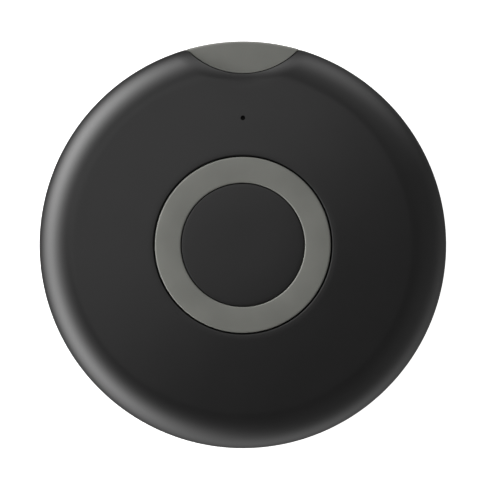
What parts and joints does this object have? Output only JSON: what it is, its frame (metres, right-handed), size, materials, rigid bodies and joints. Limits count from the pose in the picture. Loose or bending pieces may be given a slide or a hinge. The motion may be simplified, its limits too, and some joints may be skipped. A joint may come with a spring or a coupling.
{
  "type": "bluetooth tracker tag",
  "caption": "Round two-shell tracker tag with a sprung centre button, a sound port, a coin-slot battery door and a recessed strap bar.",
  "frame": {"origin": "centre of the flat foot ring on the rear face, on the surface that the tag lies on", "axes": "+Z out of the front face, +Y towards the notch and the strap bar, +X to the right seen from the front"},
  "size_m": [0.038, 0.038, 0.0081],
  "materials": {
    "case_black": "satin moulded polycarbonate with a fine spark-eroded grain",
    "soft_grey": "smooth semi-matt moulded plastic",
    "frame_black": "unpolished moulded plastic",
    "seal_rubber": "moulded silicone rubber",
    "steel": "stamped or turned stainless steel",
    "cell_steel": "nickel-plated deep-drawn steel",
    "cell_nylon": "moulded nylon",
    "cell_powder": "pressed black powder",
    "separator_paper": "matt non-woven sheet",
    "contact_gold": "gold-plated spring bronze",
    "board_laminate": "solder-masked glass-epoxy board",
    "chip_black": "moulded epoxy",
    "white_ceramic": "fired ceramic",
    "tan_ceramic": "fired ceramic with tinned ends",
    "magnet": "pressed bonded magnet",
    "copper": "enamelled copper winding",
    "mesh_cloth": "fine woven acoustic mesh"
  },
  "bodies": {
    "housing": {"front_cover": "case_black", "rear_cover": "soft_grey", "battery_frame": "frame_black", "switch_base": "frame_black", "buzzer_case": "frame_black", "case_seal": "seal_rubber", "button_gasket": "seal_rubber", "port_gasket": "seal_rubber", "case_screw_1": "steel", "case_screw_2": "steel", "case_screw_3": "steel", "strap_pin": "steel", "switch_cover": "steel", "buzzer_core": "steel", "buzzer_diaphragm": "steel", "radio_crystal": "steel", "negative_contact": "contact_gold", "positive_contact": "contact_gold", "switch_dome": "contact_gold", "main_board": "board_laminate", "buzzer_base": "board_laminate", "bluetooth_chip": "chip_black", "supply_inductor": "chip_black", "buzzer_transistor": "chip_black", "motion_sensor": "chip_black", "clock_crystal": "white_ceramic", "antenna": "white_ceramic", "supply_capacitor": "tan_ceramic", "chip_capacitor_1": "tan_ceramic", "chip_capacitor_2": "tan_ceramic", "chip_capacitor_3": "tan_ceramic", "chip_capacitor_4": "tan_ceramic", "chip_capacitor_5": "tan_ceramic", "chip_capacitor_6": "tan_ceramic", "chip_capacitor_7": "tan_ceramic", "chip_capacitor_8": "tan_ceramic", "buzzer_magnet": "magnet", "buzzer_coil": "copper", "port_mesh": "mesh_cloth"},
    "button": {"find_button": "case_black", "button_ring": "soft_grey"},
    "plunger": {"switch_plunger": "white_ceramic"},
    "cell_carrier": {"door_seal": "seal_rubber", "cell_can": "cell_steel", "cell_cap": "cell_steel", "cell_gasket": "cell_nylon", "cell_cathode": "cell_powder", "cell_separator": "separator_paper", "cell_anode": "cell_steel"},
    "door": {"battery_door": "case_black"}
  },
  "joints": [
    {"name": "button_press", "type": "slide", "parent": "housing", "child": "button", "axis": [0, 0, -1], "range_m": [0, 0.0002], "stiffness_N_per_m": 6000},
    {"name": "plunger_press", "type": "slide", "parent": "housing", "child": "plunger", "axis": [0, 0, -1], "range_m": [0, 0.0002], "deforming": ["switch_dome"]},
    {"name": "door_lift", "type": "slide", "parent": "housing", "child": "cell_carrier", "axis": [0, 0, -1], "range_m": [0, 0.0027]},
    {"name": "door_twist", "type": "hinge", "parent": "cell_carrier", "child": "door", "pos_m": [0, 0, 0.0007], "axis": [0, 0, -1], "range_deg": [0, 78]}
  ],
  "couplings": [
    {"joint": "plunger_press", "follows": "button_press", "ratio": 1},
    {"joint": "door_lift", "follows": "door_twist", "m_per_rad": 0.0019099}
  ]
}
